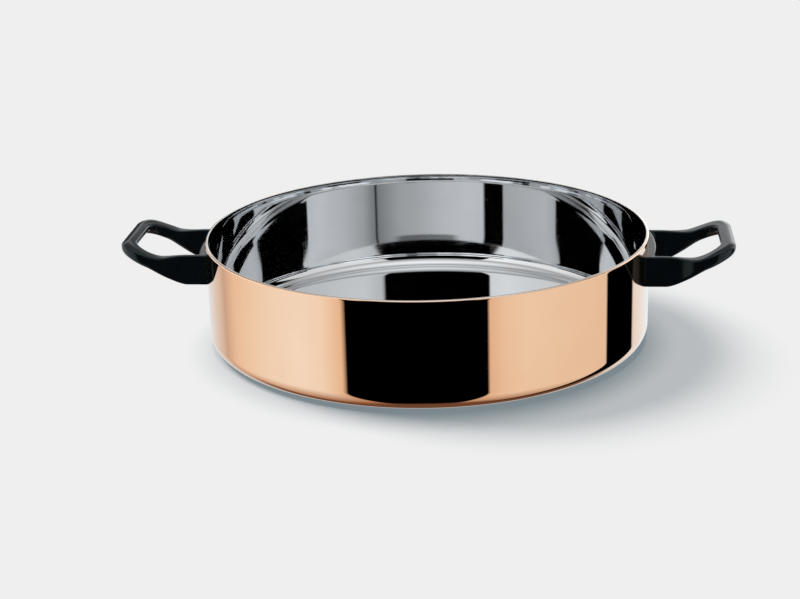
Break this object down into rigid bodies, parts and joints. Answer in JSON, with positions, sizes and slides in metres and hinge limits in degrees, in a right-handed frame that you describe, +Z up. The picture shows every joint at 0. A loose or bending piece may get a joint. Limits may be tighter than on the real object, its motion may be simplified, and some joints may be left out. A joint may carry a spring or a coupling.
{
  "type": "braiser",
  "caption": "Low round braiser with an upright wall, a copper outside bonded to a steel lining, and a riveted black cast loop handle on each side. It has no lid.",
  "frame": {"origin": "middle of the base, on the surface that the braiser stands on", "axes": "+Z up, +X through the middle of the right handle, +Y to the back"},
  "size_m": [0.3846, 0.28, 0.068],
  "materials": {
    "copper": "polished",
    "polished_steel": "polished",
    "black_iron": "satin black",
    "rivet_steel": "satin"
  },
  "bodies": {
    "root": {"copper_shell": "copper", "steel_liner": "polished_steel", "left_handle": "black_iron", "right_handle": "black_iron", "left_rivet_1": "rivet_steel", "left_rivet_2": "rivet_steel", "right_rivet_1": "rivet_steel", "right_rivet_2": "rivet_steel"}
  },
  "joints": []
}
